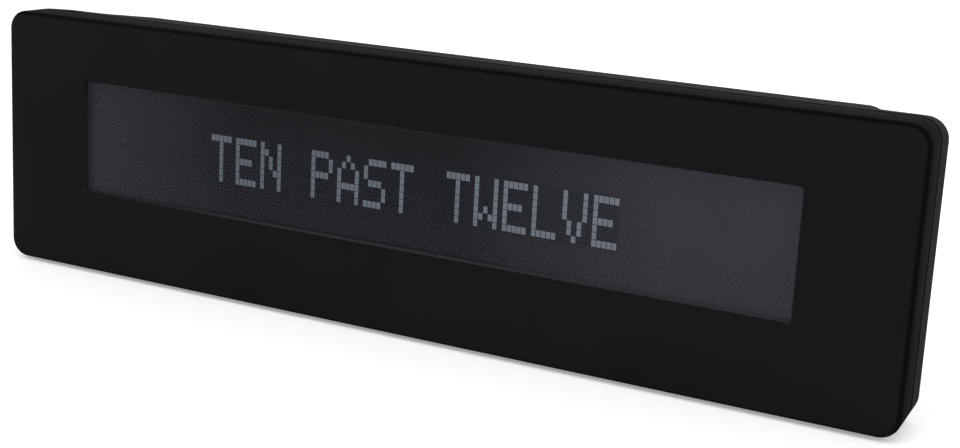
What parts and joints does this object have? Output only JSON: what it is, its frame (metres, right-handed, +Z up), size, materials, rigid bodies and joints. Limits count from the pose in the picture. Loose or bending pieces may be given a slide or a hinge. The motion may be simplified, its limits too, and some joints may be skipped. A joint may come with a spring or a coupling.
{
  "type": "word clock",
  "caption": "Wide, shallow desk clock that shows the time in words on a backlit dot-matrix display, with keys, a slide switch, a power inlet and a hinged battery door on its back.",
  "frame": {"origin": "on the table under the middle of the case: bottom centre of the bounding box", "axes": "+X to the right seen from the front, -Y out of the front face, +Z up"},
  "size_m": [0.208, 0.0326, 0.0585],
  "materials": {
    "front_plastic": "smooth semi-gloss moulded black",
    "cover_plastic": "fine matt moulded dark grey",
    "key_plastic": "satin moulded grey",
    "pane": "smoked clear acrylic",
    "display_glass": "polished",
    "polariser": "smooth dark film",
    "white_film": "matt white film",
    "clear_acrylic": "polished",
    "white_plastic": "moulded",
    "ivory_plastic": "moulded",
    "white_board": "white solder mask",
    "green_board": "green solder mask",
    "led": "clear epoxy over phosphor",
    "foam": "closed-cell foam",
    "elastomer": "pink silicone with a dark conducting core",
    "zinc_steel": "zinc plated",
    "black_steel": "black oxide",
    "nickel": "nickel plated, satin",
    "chip_epoxy": "matt black epoxy",
    "capacitor_sleeve": "shrunk sleeve",
    "ribbon_film": "laminated film",
    "switch_plastic": "moulded black",
    "cell_sleeve": "plain sleeve, no lettering",
    "lead_insulation": "soft insulation",
    "foot_rubber": "soft matt rubber"
  },
  "bodies": {
    "case": {"front_bezel": "front_plastic", "window_pane": "pane", "display_gasket": "foam", "front_polariser": "polariser", "front_glass": "display_glass", "rear_glass": "display_glass", "rear_polariser": "polariser", "diffuser_sheet": "white_film", "light_guide": "clear_acrylic", "reflector_sheet": "white_film", "backlight_boards": "white_board", "backlight_leds": "led", "display_frame": "white_plastic", "contact_strip": "elastomer", "main_board": "green_board", "board_screws": "zinc_steel", "driver_chips": "chip_epoxy", "controller_chip": "chip_epoxy", "quartz_crystal": "nickel", "capacitors": "capacitor_sleeve", "ribbon_sockets": "ivory_plastic", "ribbon_cable": "ribbon_film", "control_board": "green_board", "control_board_screws": "zinc_steel", "push_switches": "switch_plastic", "slide_switch": "nickel", "buzzer": "switch_plastic", "power_inlet_shell": "nickel", "power_inlet_tongue": "switch_plastic", "rear_cover": "cover_plastic", "case_screws": "black_steel", "contact_plates": "nickel", "contact_springs": "nickel", "battery_cells": "cell_sleeve", "battery_leads": "lead_insulation", "rubber_feet": "foot_rubber"},
    "slider": {"switch_slider": "switch_plastic"},
    "door": {"battery_door": "cover_plastic"},
    "set_key": {"key_set": "key_plastic", "plunger_set": "ivory_plastic"},
    "up_key": {"key_up": "key_plastic", "plunger_up": "ivory_plastic"},
    "down_key": {"key_down": "key_plastic", "plunger_down": "ivory_plastic"},
    "alarm_key": {"key_alarm": "key_plastic", "plunger_alarm": "ivory_plastic"},
    "light_key": {"key_light": "key_plastic", "plunger_light": "ivory_plastic"}
  },
  "joints": [
    {"name": "slider_slide", "type": "slide", "parent": "case", "child": "slider", "axis": [1, 0, 0], "range_m": [0, 0.0025]},
    {"name": "door_hinge", "type": "hinge", "parent": "case", "child": "door", "pos_m": [-0.06715, 0.0154, 0.0283], "axis": [0, 0, 1], "range_deg": [0, 75]},
    {"name": "set_key_press", "type": "slide", "parent": "case", "child": "set_key", "axis": [0, -1, 0], "range_m": [0, 0.0005], "stiffness_N_per_m": 600, "springref_m": -0.0005},
    {"name": "up_key_press", "type": "slide", "parent": "case", "child": "up_key", "axis": [0, -1, 0], "range_m": [0, 0.0005], "stiffness_N_per_m": 600, "springref_m": -0.0005},
    {"name": "down_key_press", "type": "slide", "parent": "case", "child": "down_key", "axis": [0, -1, 0], "range_m": [0, 0.0005], "stiffness_N_per_m": 600, "springref_m": -0.0005},
    {"name": "alarm_key_press", "type": "slide", "parent": "case", "child": "alarm_key", "axis": [0, -1, 0], "range_m": [0, 0.0005], "stiffness_N_per_m": 600, "springref_m": -0.0005},
    {"name": "light_key_press", "type": "slide", "parent": "case", "child": "light_key", "axis": [0, -1, 0], "range_m": [0, 0.0005], "stiffness_N_per_m": 600, "springref_m": -0.0005}
  ]
}
